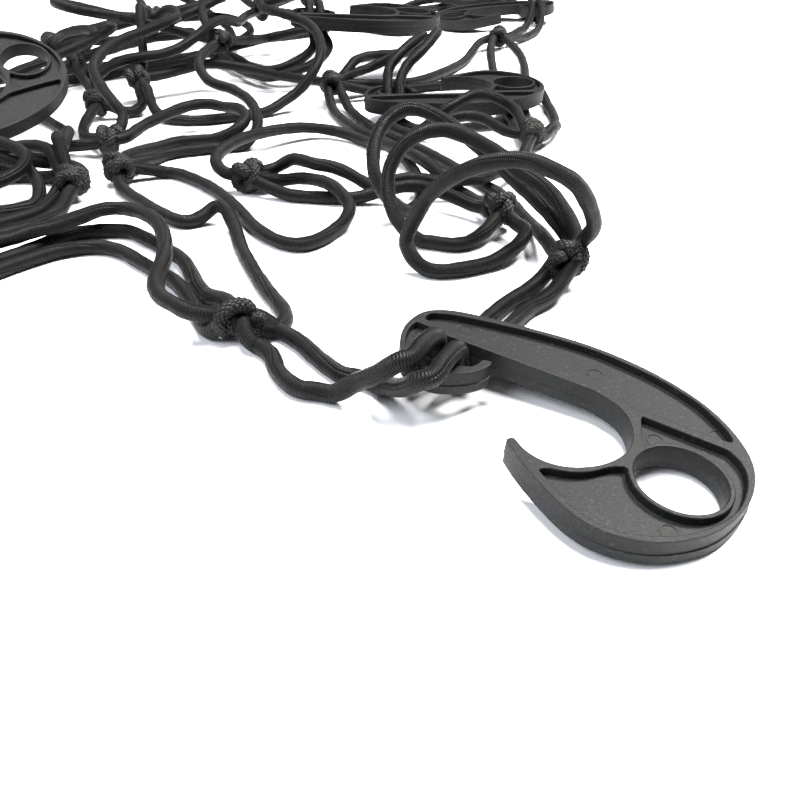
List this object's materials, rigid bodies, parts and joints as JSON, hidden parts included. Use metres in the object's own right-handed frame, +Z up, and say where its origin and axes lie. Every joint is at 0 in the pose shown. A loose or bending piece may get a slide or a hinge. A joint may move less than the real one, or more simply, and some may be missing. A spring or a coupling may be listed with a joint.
{
  "type": "elastic cargo net",
  "caption": "Elastic cargo net lying in a loose heap: dark covered cord knotted into a wide mesh with a doubled edge and flat moulded hooks with finger rings.",
  "frame": {"origin": "on the floor under the middle of the heap's bounding box", "axes": "+Z up from the floor, +Y along the heap's long side away from the hook that lies out in front, +X to the right seen from that hook"},
  "size_m": [0.3573, 0.5979, 0.0479],
  "materials": {
    "cord": "dark charcoal woven cover with fine cross ribs, soft satin",
    "hook": "charcoal moulded plastic, satin with a fine grain"
  },
  "bodies": {
    "root": {"hook_front": "hook", "hook_left": "hook", "hook_middle": "hook", "hook_back": "hook", "hook_far": "hook", "net": "cord"}
  },
  "joints": []
}
